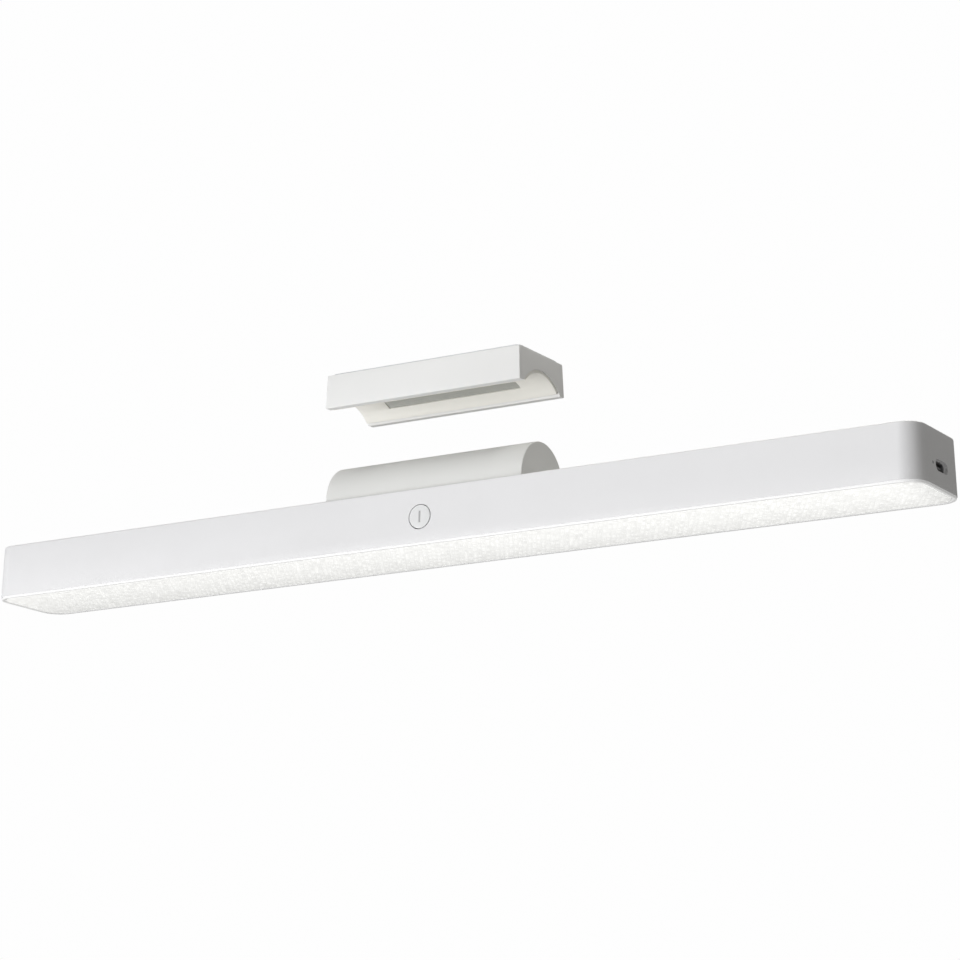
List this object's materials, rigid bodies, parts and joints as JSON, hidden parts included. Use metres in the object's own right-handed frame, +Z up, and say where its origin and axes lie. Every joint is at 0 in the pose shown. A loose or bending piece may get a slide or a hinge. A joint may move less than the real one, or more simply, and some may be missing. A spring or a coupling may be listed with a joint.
{
  "type": "magnetic shelf light bar",
  "caption": "Long white light bar with rounded ends and a glowing textured lens; its round hump snaps and tilts in a magnetic cradle stuck under a shelf or monitor.",
  "frame": {"origin": "centre of the cradle's upper adhesive face, where it sticks to the underside of a shelf or monitor", "axes": "+X along the bar towards the charging port, +Y towards the back, away from the push button, +Z up out of the adhesive face"},
  "size_m": [0.3874, 0.0382, 0.07],
  "materials": {
    "white_plastic": "satin white moulded plastic, fine spark texture",
    "button_plastic": "satin white plastic",
    "grey_mark": "grey inlay",
    "adhesive_foam": "foam tape",
    "cream_liner": "soft warm-white liner",
    "steel": "dull grey plated",
    "magnet": "nickel plated",
    "cell_can": "wrapped round cell",
    "dark_plastic": "matt black",
    "contact_metal": "plated spring strip",
    "plate_aluminium": "plain sheet",
    "white_film": "thin white film",
    "clear_guide": "clear acrylic",
    "lens_plastic": "frosted, lit from inside, small moulded cells",
    "rim_plastic": "translucent, lit from inside",
    "board": "green lacquered board",
    "white_board": "white lacquered strip board",
    "led": "phosphor",
    "screw_steel": "zinc plated",
    "wire_jacket": "soft insulation"
  },
  "bodies": {
    "base": {"adhesive_pad": "adhesive_foam", "base_cover": "white_plastic", "base_screws": "screw_steel", "base_magnets": "magnet", "base_shell": "white_plastic", "cradle_liner": "cream_liner", "steel_strip": "steel"},
    "cell": {"battery_cell": "cell_can"},
    "lamp": {"lamp_housing": "white_plastic", "hump_cover": "white_plastic", "hump_screws": "screw_steel", "keeper_plate": "steel", "battery_holder": "dark_plastic", "battery_contacts": "contact_metal", "back_plate": "plate_aluminium", "back_plate_screws": "screw_steel", "reflector_sheet": "white_film", "light_guide": "clear_guide", "diffuser_sheet": "white_film", "prismatic_lens": "lens_plastic", "lens_rim": "rim_plastic", "led_strips": "white_board", "leds": "led", "control_board": "board", "control_parts": "dark_plastic", "control_board_screws": "screw_steel", "tact_switch": "dark_plastic", "charge_board": "board", "charge_parts": "dark_plastic", "charge_board_screws": "screw_steel", "usb_c_shell": "contact_metal", "usb_c_tongue": "dark_plastic", "indicator_pipe": "clear_guide", "indicator_led": "led", "battery_leads": "wire_jacket", "led_leads": "wire_jacket", "charge_leads": "wire_jacket"},
    "button": {"button_cap": "button_plastic", "button_mark": "grey_mark", "button_plunger": "dark_plastic"}
  },
  "joints": [
    {"name": "lamp_attach", "type": "slide", "parent": "base", "child": "cell", "axis": [0, 0, 1], "range_m": [0, 0.0249]},
    {"name": "lamp_tilt", "type": "hinge", "parent": "cell", "child": "lamp", "pos_m": [0, 0, -0.0484], "axis": [1, 0, 0], "range_deg": [-30, 30]},
    {"name": "button_press", "type": "slide", "parent": "lamp", "child": "button", "axis": [0, 0.9994, -0.0349], "range_m": [0, 0.0004], "stiffness_N_per_m": 800}
  ]
}
